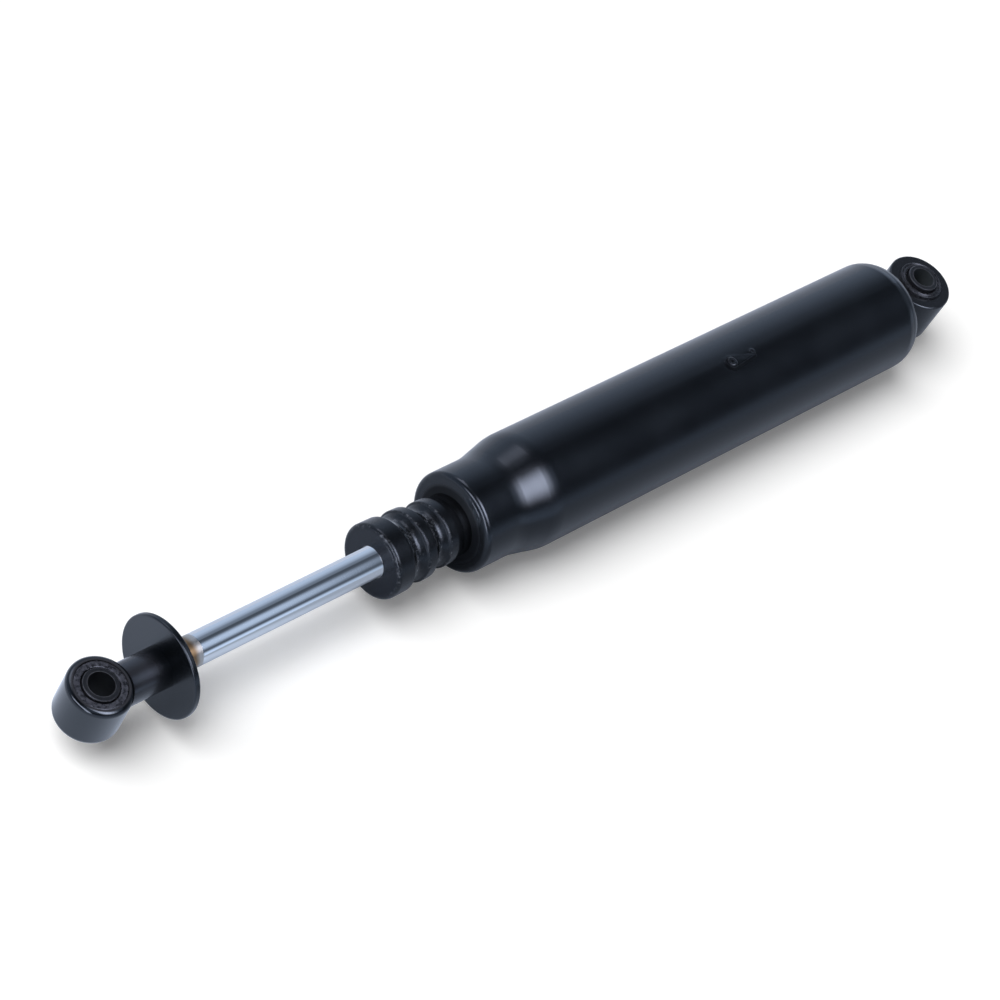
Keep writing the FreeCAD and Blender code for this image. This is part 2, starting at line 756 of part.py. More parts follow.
def make_base_valve():
    valve = revolved("base_valve_body", [
        ("valve_disc", "valve_hole_radius"),
        ("valve_disc", "valve_skirt_radius"),
        ("valve_skirt_inner_foot", "valve_skirt_radius"),
        ("valve_skirt_outer_foot", "pressure_tube_radius"),
        ("pressure_tube_base", "pressure_tube_radius"),
        ("pressure_tube_base", "spigot_radius"),
        ("valve_top", "spigot_radius"),
        ("valve_top", "check_boss_radius"),
        ("valve_boss_top", "check_boss_radius"),
        ("valve_boss_top", "valve_hole_radius"),
    ])
    notch = new_sketch(valve, "notch", "XY_Plane")
    half = "valve_notch_width / 2"
    outline(notch, [
        ("cap_inner_floor", f"-{half}"),
        ("cap_inner_floor + valve_notch_height", f"-{half}"),
        ("cap_inner_floor + valve_notch_height", half),
        ("cap_inner_floor", half),
    ])
    repeat_about_x(valve, pocket(valve, notch), SKIRT_NOTCHES)
    ring_of_holes(valve, "intake", "intake_pitch_diameter", "intake_hole", INTAKE_HOLES)
    ring_of_holes(valve, "bleed", "bleed_pitch_diameter", "bleed_hole", BLEED_HOLES)
    make_check_plate("base_check_plate", "valve_top")
    make_check_spring("base_check_spring", "valve_boss_top", "valve_top + check_plate_thickness",
                      "valve_hole_radius")
    turned_ring("compression_discs", "valve_discs_end", "valve_disc", "valve_hole_radius",
                "disc_radius")
    revolved("base_valve_bolt", [
        ("valve_bolt_tip_end", "0"),
        ("valve_bolt_tip_end", "valve_bolt_radius"),
        ("valve_bolt_head", "valve_bolt_radius"),
        ("valve_bolt_head", "valve_bolt_head_diameter / 2"),
        ("valve_bolt_top", "valve_bolt_head_diameter / 2"),
        ("valve_bolt_top", "0"),
    ])
    make_nut("base_valve_nut", "valve_nut_end", "valve_nut_height", "valve_nut_flats",
             "valve_hole_radius")


def check_document():
    """Stops if any feature failed or any sub-part isn't a sound solid."""
    doc.recompute()
    failed = [o.Name for o in doc.Objects if "Invalid" in o.State or "Error" in o.State]
    unsound = [p.Label for p in sub_parts if p.Shape.isNull() or not p.Shape.isValid()]
    hollow = [p.Label for p in sub_parts if p.Label not in unsound and not p.Shape.Solids]
    if failed or unsound or hollow:
        raise RuntimeError(f"failed {failed}, unsound {unsound}, without a solid {hollow}")


def write_parts():
    os.makedirs("parts", exist_ok=True)
    for part in sub_parts:
        part.Shape.exportStep(f"parts/{part.Label}.step")


make_reservoir_tube()
make_gas_fill_weld()
make_base_cap()
make_eye("base", "")
make_base_eye_weld()
make_eye("rod", "eye_spacing")
make_rod_end()
make_piston_rod()
make_bump_stop()
make_neck_pieces()
make_piston()
make_base_valve()
check_document()
write_parts()
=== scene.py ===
"""Looks of a twin-tube shock absorber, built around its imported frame.

Metres, with the shock along X, the bores of both eyes along Z and the base eye at the origin.
"""

import math

import bmesh
import bpy
from mathutils import Matrix, Vector


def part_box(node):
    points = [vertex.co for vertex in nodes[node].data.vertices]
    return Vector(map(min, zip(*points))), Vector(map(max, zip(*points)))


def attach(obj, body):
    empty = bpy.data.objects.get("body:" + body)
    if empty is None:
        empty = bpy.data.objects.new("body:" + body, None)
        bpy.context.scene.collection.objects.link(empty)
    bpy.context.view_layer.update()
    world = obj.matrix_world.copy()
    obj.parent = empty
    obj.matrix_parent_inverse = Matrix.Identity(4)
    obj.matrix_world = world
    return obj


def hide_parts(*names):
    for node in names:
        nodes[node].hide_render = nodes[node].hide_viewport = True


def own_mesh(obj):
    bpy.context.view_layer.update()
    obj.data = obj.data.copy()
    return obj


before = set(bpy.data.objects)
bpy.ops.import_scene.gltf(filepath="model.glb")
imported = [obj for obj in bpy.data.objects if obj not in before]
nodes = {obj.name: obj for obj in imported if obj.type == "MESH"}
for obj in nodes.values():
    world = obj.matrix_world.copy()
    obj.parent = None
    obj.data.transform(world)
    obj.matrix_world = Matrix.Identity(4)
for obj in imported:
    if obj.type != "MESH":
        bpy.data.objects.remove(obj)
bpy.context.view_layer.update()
scene = bpy.context.scene
MM = 0.001
EYE_SPACING = 470.0 * MM
TUBE_RADIUS = 24.6 * MM
WELD_PLACE = 138.5 * MM
MERGE = 0.001 * MM
WHITE = (1.0, 1.0, 1.0)
BLACK = (0.0, 0.0, 0.0)


# Nodes of the materials


def add_node(tree, kind, inputs=None, **settings):
    """A shader node with its settings, and each input set to a value or wired to an output."""
    node = tree.nodes.new("ShaderNode" + kind)
    for name, setting in settings.items():
        setattr(node, name, setting)
    for socket, source in (inputs or {}).items():
        if isinstance(source, bpy.types.NodeSocket):
            tree.links.new(source, node.inputs[socket])
        else:
            node.inputs[socket].default_value = source
    return node


def maths(tree, operation, *values):
    """The output of a Math node on these values or outputs."""
    return add_node(tree, "Math", dict(enumerate(values)), operation=operation).outputs[0]


def noise(tree, place, scale, detail=2.0, roughness=0.5):
    """Even noise from 0 to 1, with about this many lumps to the metre."""
    inputs = {"Vector": place, "Scale": scale, "Detail": detail, "Roughness": roughness}
    return add_node(tree, "TexNoise", inputs).outputs["Fac"]


def mapped(tree, value, start, end, low=0.0, high=1.0):
    """The value from start to end, smoothed onto low to high."""
    inputs = {"Value": value, "From Min": start, "From Max": end, "To Min": low, "To Max": high}
    return add_node(tree, "MapRange", inputs, interpolation_type="SMOOTHSTEP").outputs["Result"]


def mixed_colour(tree, share, low, high):
    """The colour from low to high, by a share between 0 and 1."""
    node = add_node(tree, "Mix", {"Factor": share}, data_type="RGBA")
    for socket, colour in ((node.inputs[6], low), (node.inputs[7], high)):
        if isinstance(colour, bpy.types.NodeSocket):
            tree.links.new(colour, socket)
        else:
            socket.default_value = (*colour, 1.0)
    return node.outputs[2]


def band(tree, value, start, full, fade, end, level):
    """A soft band: up from start to full, level, and down again from fade to end."""
    rise = mapped(tree, value, start, full)
    return maths(tree, "MULTIPLY", rise, mapped(tree, value, fade, end, level, 0.0))


def bumped(tree, height, distance, below=None):
    """A normal from a height between 0 and 1, which stands for this distance in metres."""
    inputs = {"Height": height, "Distance": distance, "Strength": 1.0}
    if below is not None:
        inputs["Normal"] = below
    return add_node(tree, "Bump", inputs).outputs["Normal"]


def new_finish(name, **sockets):
    """A material, its tree, its main shader and the place on the piece."""
    material = bpy.data.materials.new(name)
    material.use_nodes = True
    tree = material.node_tree
    shader = tree.nodes["Principled BSDF"]
    for socket, value in sockets.items():
        shader.inputs[socket.replace("_", " ")].default_value = value
    place = add_node(tree, "TexCoord").outputs["Object"]
    return material, tree, shader, place


def wire(tree, shader, **sources):
    """Links each output to the shader's socket of that name."""
    for socket, source in sources.items():
        tree.links.new(source, shader.inputs[socket.replace("_", " ")])


def distance_out(tree, first, second):
    """The distance from an axis, by the two places across it."""
    across = add_node(tree, "CombineXYZ", {"X": first, "Y": second})
    out = add_node(tree, "VectorMath", {0: across.outputs["Vector"]}, operation="LENGTH")
    return out.outputs["Value"]


def along_and_out(tree, place):
    """The distance along X, and the distance out from X."""
    x, y, z = add_node(tree, "SeparateXYZ", {"Vector": place}).outputs
    return x, distance_out(tree, y, z)


def along_and_out_of_eye(tree, place):
    """The distance along X, and the distance out from the axis of the nearer eye."""
    x, y, _ = add_node(tree, "SeparateXYZ", {"Vector": place}).outputs
    near_axis = maths(tree, "WRAP", x, EYE_SPACING / 2, -EYE_SPACING / 2)
    return x, distance_out(tree, near_axis, y)


# Finishes

PAINT_SHINE = (0.82, 0.9, 1.0)
PAINT_DARK = (0.0012, 0.0015, 0.002)
PAINT_LIGHT = (0.0019, 0.0023, 0.003)
PAINT_DULL = 0.2
BASE_RING_DUST = (0.01, 0.011, 0.0135)
ROD_LIP_DUST = (0.032, 0.033, 0.04)
STEM_DUST = (0.022, 0.0235, 0.03)


def black_coating(name, with_painted_shade=False):
    """A black coating with a fine orange peel, dusty at both eyes and glossier at the rod's eye.

    A coating with painted shade is dull and without shine where painted shade lies: along the weld run's
    low edge, in its pit, in the button's crater and round its foot, and round the bump stop's seat. It is
    creased where the tube's end is rolled over.
    """
    material, tree, shader, place = new_finish(
        name, IOR=1.45, Specular_Tint=(*PAINT_SHINE, 1.0))
    along, from_eye = along_and_out_of_eye(tree, place)
    mottle = noise(tree, place, 60.0, 3.0)
    grain = noise(tree, place, 2200.0, 2.0)
    base_ring = mapped(tree, along, 14.0 * MM, 20.0 * MM, 1.0, 0.0)
    rod_lip = maths(tree, "MULTIPLY", mapped(tree, along, 400.0 * MM, 430.0 * MM),
                    mapped(tree, from_eye, 10.8 * MM, 11.4 * MM, 1.0, 0.0))
    stem = maths(tree, "MULTIPLY", mapped(tree, along, 442.0 * MM, 450.0 * MM),
                 mapped(tree, from_eye, 12.85 * MM, 13.1 * MM))
    colour = mixed_colour(tree, mottle, PAINT_DARK, PAINT_LIGHT)
    for dusty, dust in ((base_ring, BASE_RING_DUST), (rod_lip, ROD_LIP_DUST), (stem, STEM_DUST)):
        colour = mixed_colour(tree, dusty, colour, dust)
    dull = mapped(tree, mottle, 0.3, 0.7, PAINT_DULL - 0.02, PAINT_DULL + 0.03)
    glossier = mapped(tree, along, 452.0 * MM, 458.0 * MM, 0.0, -0.1)
    dull = maths(tree, "ADD", dull, glossier)
    peel = bumped(tree, grain, 0.013 * MM)
    if with_painted_shade:
        # Painted shade from the weld pieces: no shine and a rougher coat where it lies
        painted_shade = add_node(tree, "Attribute", attribute_name="painted_shade").outputs["Fac"]
        # Painted shade round the bump stop's seat on the tube's end, standing in for the bump stop's dark
        # reflection, which the shine doesn't show
        _, out = along_and_out(tree, place)
        seat = maths(tree, "MULTIPLY", mapped(tree, along, 288.0 * MM, 290.0 * MM),
                     mapped(tree, out, 15.0 * MM, 17.2 * MM, 0.95, 0.0))
        painted_shade = maths(tree, "MAXIMUM", painted_shade, seat)
        dull = maths(tree, "MULTIPLY_ADD", painted_shade, 0.35, dull)
        rolled = {"Value": along, "From Min": 27.2 * MM, "From Max": 29.6 * MM}
        crease = add_node(tree, "MapRange", rolled).outputs["Result"]
        peel = bumped(tree, crease, 0.34 * MM, below=peel)
        wire(tree, shader, Specular_Tint=mixed_colour(tree, painted_shade, PAINT_SHINE, BLACK))
    wire(tree, shader, Base_Color=colour, Roughness=dull, Normal=peel)
    return material


def clamped_sleeve(name):
    """A black sleeve, rubbed on its end faces, with painted highlights at their edges and a painted bore
    without shine: grey as painted light towards the base eye, black as painted shade towards the rod's
    eye.
    """
    material, tree, shader, place = new_finish(name, IOR=1.45)
    along, out = along_and_out_of_eye(tree, place)
    in_bore = mapped(tree, out, 5.12 * MM, 5.2 * MM, 1.0, 0.0)
    outside = mapped(tree, out, 6.9 * MM, 6.97 * MM)
    rubbed = noise(tree, place, 900.0, 4.0, 0.65)
    # Painted highlights: the inner and outer edges of the end faces are painted light, broken up by the
    # rubbed noise
    edges = maths(tree, "MAXIMUM", mapped(tree, out, 5.25 * MM, 5.5 * MM, 1.0, 0.0),
                  mapped(tree, out, 6.65 * MM, 6.9 * MM))
    bare = maths(tree, "MULTIPLY", edges, mapped(tree, rubbed, 0.3, 0.6, 0.3, 1.0))
    pale = mixed_colour(tree, rubbed, (0.0022, 0.0024, 0.003), (0.014, 0.0152, 0.0185))
    face = mixed_colour(tree, bare, pale, (0.07, 0.074, 0.088))
    # Painted light and shade in the bore, which has no shine: grey towards the base eye for reflected
    # light, black towards the rod's eye for shade
    bore_light_to_shade = mapped(tree, along, 100.0 * MM, 300.0 * MM)
    bore = mixed_colour(tree, bore_light_to_shade, (0.03, 0.035, 0.04), (0.0018, 0.002, 0.0024))
    shell = mixed_colour(tree, outside, face, (0.01, 0.0106, 0.0128))
    wire(tree, shader, Base_Color=mixed_colour(tree, in_bore, shell, bore),
         Specular_Tint=mixed_colour(tree, in_bore, (0.4, 0.42, 0.46), BLACK),
         Roughness=mapped(tree, in_bore, 0.0, 1.0, 0.4, 0.7), Normal=bumped(tree, rubbed, 0.03 * MM))
    return material


def chromed_rod(name):
    """Hard chrome, dulled and browned by heat next to the jounce washer."""
    material, tree, shader, place = new_finish(name, Metallic=1.0)
    along, _ = along_and_out(tree, place)
    ripple = noise(tree, place, 260.0, 3.0)
    edge = maths(tree, "MULTIPLY_ADD", ripple, 1.6 * MM, along)
    heated = mapped(tree, edge, 424.0 * MM, 424.8 * MM)
    browned = mapped(tree, edge, 425.6 * MM, 428.4 * MM)
    chrome = mixed_colour(tree, noise(tree, place, 90.0), (0.655, 0.68, 0.7), (0.695, 0.72, 0.74))
    straw = mixed_colour(tree, browned, (0.4, 0.385, 0.36), (0.2, 0.13, 0.07))
    colour = mixed_colour(tree, heated, chrome, straw)
    dull = mapped(tree, heated, 0.0, 1.0, 0.07, 0.34)
    grind = add_node(tree, "Mapping", {"Vector": place, "Scale": (3000.0, 120.0, 120.0)})
    lay = noise(tree, grind.outputs["Vector"], 1.0, 2.0)
    wire(tree, shader, Base_Color=colour, Roughness=dull, Normal=bumped(tree, lay, 0.0015 * MM))
    return material


def bump_stop_rubber(name):
    """Black rubber with grey wisps of wear at its crests, hollows and head's edge, which at the crests and
    hollows are also painted highlights, and painted light on its end face.
    """
    material, tree, shader, place = new_finish(
        name, IOR=1.39, Specular_Tint=(0.74, 0.82, 0.92, 1.0))
    scuff_and_highlight = add_node(tree, "Attribute", attribute_name="scuff_and_highlight").outputs["Fac"]
    fine = noise(tree, place, 1700.0, 4.0, 0.65)
    patchy = noise(tree, place, 480.0, 5.0, 0.75)
    # Grey wisps of wear, which at the crests and hollows are also painted highlight
    patchy_scuff_and_highlight = maths(tree, "MULTIPLY", scuff_and_highlight, mapped(tree, patchy, 0.48, 0.72))
    # Painted light: the end face is a lighter, bluer black than the rest of the rubber
    lit_face = add_node(tree, "Attribute", attribute_name="lit_face").outputs["Fac"]
    black = mixed_colour(tree, lit_face, (0.0022, 0.0024, 0.0028), (0.0042, 0.0048, 0.0072))
    colour = mixed_colour(tree, patchy_scuff_and_highlight, black, (0.12, 0.13, 0.155))
    dull = mapped(tree, patchy_scuff_and_highlight, 0.0, 1.0, 0.24, 0.4)
    wire(tree, shader, Base_Color=colour, Roughness=dull, Normal=bumped(tree, fine, 0.05 * MM))
    return material


def bush_rubber(name, dark, light, shine, relief):
    """Moulded black rubber, a little uneven and blotched from dark to light."""
    material, tree, shader, place = new_finish(name, IOR=1.5, Specular_Tint=(*shine, 1.0))
    uneven = noise(tree, place, 700.0, 4.0, 0.6)
    blotch = mapped(tree, uneven, 0.3, 0.7)
    dull = mapped(tree, uneven, 0.3, 0.7, 0.2, 0.4)
    wire(tree, shader, Base_Color=mixed_colour(tree, blotch, dark, light), Roughness=dull,
         Normal=bumped(tree, uneven, relief))
    return material


def worked_metal(name, dark, light, dull, grain):
    """A bare metal with turning marks and slow stains."""
    material, tree, shader, place = new_finish(name, Metallic=1.0)
    stain = noise(tree, place, 120.0, 3.0)
    marks = noise(tree, place, grain, 2.0)
    wire(tree, shader, Base_Color=mixed_colour(tree, stain, dark, light),
         Roughness=mapped(tree, stain, 0.3, 0.7, dull - 0.06, dull + 0.06),
         Normal=bumped(tree, marks, 0.01 * MM))
    return material


def soft_moulding(name, dark, light, dull):
    """Rubber or polymer with a fine moulded grain."""
    material, tree, shader, place = new_finish(name)
    grain = noise(tree, place, 900.0, 3.0)
    wire(tree, shader, Base_Color=mixed_colour(tree, grain, dark, light),
         Roughness=mapped(tree, grain, 0.3, 0.7, dull - 0.05, dull + 0.05),
         Normal=bumped(tree, grain, 0.02 * MM))
    return material


def coat(material, *names):
    """Gives these CAD nodes the material."""
    for name in names:
        nodes[name].data.materials.clear()
        nodes[name].data.materials.append(material)


paint = black_coating("body_paint")
tube_paint = black_coating("tube_paint", with_painted_shade=True)
sleeve_paint = clamped_sleeve("sleeve_paint")
chrome = chromed_rod("rod_chrome")
steel = worked_metal("plain_steel", (0.36, 0.37, 0.38), (0.5, 0.51, 0.52), 0.3, 1200.0)
iron = worked_metal("sintered_iron", (0.16, 0.16, 0.165), (0.25, 0.25, 0.255), 0.5, 2500.0)
polymer = soft_moulding("bearing_polymer", (0.1, 0.075, 0.05), (0.15, 0.12, 0.09), 0.4)
seal = soft_moulding("seal_rubber", (0.012, 0.012, 0.013), (0.02, 0.02, 0.021), 0.45)
coat(tube_paint, "reservoir_tube", "gas_fill_weld")
coat(paint, "base_cap", "base_eye_ring", "base_eye_weld", "rod_eye_ring", "rod_eye_stem",
     "jounce_washer")
coat(sleeve_paint, "base_eye_sleeve", "rod_eye_sleeve")
coat(chrome, "piston_rod")
coat(seal, "rod_seal", "rebound_bumper")
coat(polymer, "guide_bush", "piston_band")
coat(iron, "rod_guide", "piston", "base_valve_body")
coat(steel, "seal_cover", "pressure_tube", "rebound_collar", "piston_check_plate",
     "piston_check_spring", "piston_support_washer", "rebound_discs", "piston_clamp_washer",
     "piston_nut", "base_check_plate", "base_check_spring", "compression_discs",
     "base_valve_bolt", "base_valve_nut")


# Turned pieces


def smooth_piece(name, shape):
    """The object of a finished bmesh, shaded smooth."""
    mesh = bpy.data.meshes.new(name)
    shape.to_mesh(mesh)
    shape.free()
    for face in mesh.polygons:
        face.use_smooth = True
    piece = bpy.data.objects.new(name, mesh)
    scene.collection.objects.link(piece)
    return piece


def turned(name, profile, axis, centre, steps):
    """A closed turned piece: the closed profile of (along, out) points, spun about the axis."""
    along = Vector(axis)
    out = Vector((0, 0, 1)) if abs(along.x) > 0.5 else Vector((1, 0, 0))
    shape = bmesh.new()
    ring = [shape.verts.new(Vector(centre) + along * a + out * r) for a, r in profile]
    edges = [shape.edges.new((ring[i - 1], ring[i])) for i in range(len(ring))]
    bmesh.ops.spin(shape, geom=ring + edges, cent=centre, axis=along, angle=math.tau,
                   steps=steps, use_merge=True)
    bmesh.ops.remove_doubles(shape, verts=shape.verts, dist=MERGE)
    bmesh.ops.recalc_face_normals(shape, faces=shape.faces)
    return smooth_piece(name, shape)


def rounded(corners, fine):
    """A closed outline with its corners (along, out, radius) rounded, in steps of about fine."""
    points = []
    count = len(corners)
    for i, (along, out, radius) in enumerate(corners):
        corner = Vector((along, out))
        if radius == 0:
            points.append(corner)
            continue
        back = (Vector(corners[i - 1][:2]) - corner).normalized()
        ahead = (Vector(corners[(i + 1) % count][:2]) - corner).normalized()
        half = back.angle(ahead) / 2
        centre = corner + (back + ahead).normalized() * (radius / math.sin(half))
        reach = radius / math.tan(half)
        start = corner + back * reach - centre
        turn = start.angle_signed(corner + ahead * reach - centre)
        bits = max(3, round(radius * abs(turn) / fine))
        for k in range(bits + 1):
            points.append(centre + Matrix.Rotation(-turn * k / bits, 2) @ start)
    return [(p.x, p.y) for p in points]


def divided(profile, longest):
    """The closed outline with no run longer than this."""
    points = []
    for i, start in enumerate(profile):
        end = profile[(i + 1) % len(profile)]
        bits = max(1, math.ceil(math.dist(start, end) / longest))
        for k in range(bits):
            points.append(tuple(s + (e - s) * k / bits for s, e in zip(start, end)))
    return points


# Bump stop


def make_bump_stop():
    """The stepped rubber, from its tail on the tube's end to its head, squeezed by the jounce washer."""
    low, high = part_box("bump_stop")
    seat, end = low.x, high.x
    bore = 6.65 * MM
    tail = 13.0 * MM
    tail_end = seat + 4.1 * MM
    rib = 4.3 * MM
    groove = 8.3 * MM
    first = tail_end + 3.8 * MM
    second = first + rib + groove
    head = second + rib + groove
    ribs = [(first, 13.75 * MM, 10.8 * MM), (second, 14.8 * MM, 11.85 * MM)]
    corners = [(seat, bore, 0), (seat, tail, 0.4 * MM), (tail_end, tail, 0.8 * MM)]
    for start, radius, bottom in ribs:
        corners += [(start, radius, 0.8 * MM), (start + rib, radius + 0.15 * MM, 0.6 * MM),
                    (start + rib + 0.5 * MM, radius - 0.8 * MM, 0.3 * MM),
                    (start + rib + groove / 2, bottom, 3.6 * MM)]
    corners += [(head, 15.5 * MM, 0.8 * MM), (end, 15.7 * MM, 1.8 * MM), (end, bore, 0.5 * MM)]
    profile = divided(rounded(corners, 0.25 * MM), 0.8 * MM)
    piece = turned("bump_stop_rubber", profile, (1, 0, 0), (0, 0, 0), 180)
    # At the crests and in the hollows the grey is wear and painted highlight together; at the head's edge
    # it is wear
    crests = [(start + rib - 0.3 * MM, radius, 0.8 * MM) for start, radius, _ in ribs]
    hollows = [(start + rib + groove / 2, bottom + 1.2 * MM, 2.6 * MM) for start, _, bottom in ribs]
    scuffs_and_highlights = crests + hollows + [(end - 0.7 * MM, 15.0 * MM, 1.5 * MM)]
    scuff_and_highlight = piece.data.attributes.new("scuff_and_highlight", "FLOAT", "POINT")
    for vertex, entry in zip(piece.data.vertices, scuff_and_highlight.data):
        x, out = vertex.co.x, math.hypot(vertex.co.y, vertex.co.z)
        entry.value = max(0.0, *(1.0 - math.hypot(x - p, out - r) / reach for p, r, reach in scuffs_and_highlights))
    # The end face, which the material paints lighter
    lit_face = piece.data.attributes.new("lit_face", "FLOAT", "POINT")
    for vertex, entry in zip(piece.data.vertices, lit_face.data):
        entry.value = float(vertex.co.x > end - 0.2 * MM)
    piece.data.materials.append(bump_stop_rubber("bump_rubber"))
    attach(piece, "bump")
    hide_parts("bump_stop")
    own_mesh(piece)
    # The rod's stripes run up to the end face in the photograph, so the rod doesn't mirror this piece
    piece.visible_glossy = False


make_bump_stop()


# Eye bushes

# Painted shade: the base eye's copy of the rubber is darker, and dimmer in its shine, than the rod eye's
# dusty copy
shaded_rubber = bush_rubber("bush_rubber", (0.009, 0.0095, 0.0115), (0.017, 0.0178, 0.022),
                           (0.45, 0.47, 0.52), 0.06 * MM)
dusty_rubber = bush_rubber("dusty_bush_rubber", (0.006, 0.0064, 0.0085), (0.053, 0.055, 0.069),
                           (0.86, 0.9, 1.0), 0.12 * MM)


def make_eye_bush(end, body, centre, rubber, beads):
    """A moulded bush, whose faces carry beads from the ring to the sleeve.

    A bead is its depth below the face, its distance from the axis and its rounding, in millimetres.
    """
    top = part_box(f"{end}_eye_bush")[1].z
    inner, outer = 7.05 * MM, 10.25 * MM
    inner_depth, outer_depth = 1.5 * MM, 1.4 * MM
    upper = [(top - outer_depth, outer, 0)]
    upper += [(top - depth * MM, out * MM, radius * MM) for depth, out, radius in beads]
    upper += [(top - inner_depth, inner, 0)]
    lower = [(-along, out, radius) for along, out, radius in reversed(upper)]
    profile = divided(rounded(upper + lower, 0.12 * MM), 2.5 * MM)
    piece = turned(f"{end}_eye_rubber", profile, (0, 0, 1), centre, 120)
    piece.data.materials.append(rubber)
    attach(piece, body)
    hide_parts(f"{end}_eye_bush")


make_eye_bush("base", "body", (0, 0, 0), shaded_rubber, [
    (0.4, 10.05, 0.3), (0.0, 9.7, 0.3), (0.5, 9.15, 0.2), (0.5, 8.95, 0.2), (0.0, 8.4, 0.3),
    (0.1, 7.9, 0.3), (0.4, 7.3, 0.2)])
make_eye_bush("rod", "rod", (EYE_SPACING, 0, 0), dusty_rubber, [
    (0.25, 10.2, 0.1), (0.0, 9.85, 0.4), (0.0, 7.65, 0.25), (0.7, 7.35, 0.2)])


# Springs of the check valves


def make_check_spring(place, body):
    """A merged copy of the dished spring, shaded sharp at its creases."""
    node = f"{place}_check_spring"
    shape = bmesh.new()
    shape.from_mesh(nodes[node].data)
    bmesh.ops.transform(shape, matrix=nodes[node].matrix_world, verts=shape.verts)
    bmesh.ops.remove_doubles(shape, verts=shape.verts, dist=MERGE)
    bmesh.ops.recalc_face_normals(shape, faces=shape.faces)
    piece = smooth_piece(f"{place}_check_star", shape)
    piece.data.set_sharp_from_angle(angle=math.radians(30))
    piece.data.materials.append(steel)
    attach(piece, body)
    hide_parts(node)
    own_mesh(piece)


make_check_spring("piston", "rod")
make_check_spring("base", "body")


# Weld over the gas filling hole


def smooth_step(value, start, end):
    """0 at start and 1 at end, smooth between."""
    share = min(1.0, max(0.0, (value - start) / (end - start)))
    return share * share * (3 - 2 * share)


def weld_run(along, across):
    """Height of the weld run over the tube, and the painted shade along its low edge and in its pit.

    The places, from the middle of its blob, and the height are in millimetres.
    """
    tail_along, tail_across = -13.0, 1.3
    blob_width, taper = 4.6, 2.7
    pit_along, pit_across, pit_width = -13.5, -0.5, 2.4
    reach = (along * tail_along + across * tail_across) / math.hypot(tail_along, tail_across) ** 2
    share = min(1.0, max(0.0, reach))
    offset = across - share * tail_across
    width = blob_width - taper * share
    inside = width - math.hypot(along - share * tail_along, offset)
    pit = math.hypot(along - pit_along, across - pit_across)
    body = smooth_step(max(inside, pit_width - pit), 0.0, 1.8)
    lumps = 0.05 * math.sin(0.9 * along + 0.4) * math.sin(1.1 * across + 0.6)
    low_side = smooth_step(offset, -0.6 * width, 0.5 * width)
    height = -0.08 + body * (0.14 + low_side * (0.3 + lumps))
    height += 0.14 * math.exp(-((pit - 1.1) / 0.4) ** 2) - 0.05 * math.exp(-(pit / 0.6) ** 2)
    # Painted shade along the run's low edge, and in its pit
    edge = smooth_step(inside, -0.4, 0.1) * smooth_step(inside, 2.1, 1.4)
    painted_shade = edge * smooth_step(offset, -0.6 * width, -0.1 * width)
    return height, min(1.0, painted_shade + math.exp(-(pit / 0.8) ** 2))


def make_weld_run():
    """A closed, low patch of weld metal on the top of the tube, which dips into its wall all round."""
    shape = bmesh.new()
    half_length, half_width = 13.0 * MM, 6.5 * MM
    middle = -5.0 * MM
    depth = 0.5 * MM
    bmesh.ops.create_grid(shape, x_segments=130, y_segments=65, size=1.0)
    # Painted shade along the run's low edge and in its pit, kept per point
    painted_shade = shape.verts.layers.float.new("painted_shade")
    for vertex in shape.verts:
        along = vertex.co.x * half_length + middle
        across = vertex.co.y * half_width
        height, vertex[painted_shade] = weld_run(along / MM, across / MM)
        out = TUBE_RADIUS + height * MM
        turn = across / TUBE_RADIUS
        vertex.co = (WELD_PLACE + along, out * math.sin(turn), out * math.cos(turn))
    top = list(shape.faces)
    base = bmesh.ops.extrude_face_region(shape, geom=top, use_keep_orig=True)
    moved = [item for item in base["geom"] if isinstance(item, bmesh.types.BMVert)]
    bmesh.ops.translate(shape, verts=moved, vec=(0, 0, -depth))
    bmesh.ops.recalc_face_normals(shape, faces=shape.faces)
    piece = smooth_piece("gas_weld_run", shape)
    piece.data.materials.append(tube_paint)
    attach(piece, "body")


def make_weld_button():
    """The button over the filling hole, with a sunk crater and an uneven rim."""
    low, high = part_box("gas_fill_weld")
    foot, crown = low.z, high.z
    plug, skirt = 1.5 * MM, 2.8 * MM
    skirt_foot = crown - 1.2 * MM
    crater = crown - 0.7 * MM
    corners = [(foot, 0.0, 0), (foot, plug, 0), (skirt_foot, plug, 0), (skirt_foot, skirt, 0),
               (crown - 0.8 * MM, 2.7 * MM, 0.3 * MM), (crown - 0.1 * MM, 1.7 * MM, 0.8 * MM),
               (crown - 0.2 * MM, 1.0 * MM, 0.3 * MM), (crater, 0.5 * MM, 0.3 * MM), (crater, 0.0, 0)]
    profile = rounded(corners, 0.1 * MM)
    piece = turned("gas_weld_button", profile, (0, 0, 1), (WELD_PLACE, 0, 0), 72)
    for vertex in piece.data.vertices:
        if vertex.co.z < crown - 1.0 * MM:
            continue
        round_z = math.atan2(vertex.co.y, vertex.co.x - WELD_PLACE)
        vertex.co.z -= (0.12 + 0.12 * math.sin(2 * round_z + 0.8)) * MM
    # Painted shade in the crater and round the button's foot
    painted_shade = piece.data.attributes.new("painted_shade", "FLOAT", "POINT")
    for vertex, entry in zip(piece.data.vertices, painted_shade.data):
        out = math.hypot(vertex.co.x - WELD_PLACE, vertex.co.y)
        entry.value = max(smooth_step(out, 1.3 * MM, 0.7 * MM), smooth_step(out, 1.7 * MM, 2.2 * MM))
    piece.data.materials.append(tube_paint)
    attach(piece, "body")
    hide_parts("gas_fill_weld")


make_weld_run()
make_weld_button()


# Floor, light and camera

FLOOR = -TUBE_RADIUS
FLOOR_WHITE = (0.9, 0.9, 0.895)
FLOOR_GLOW = 0.1
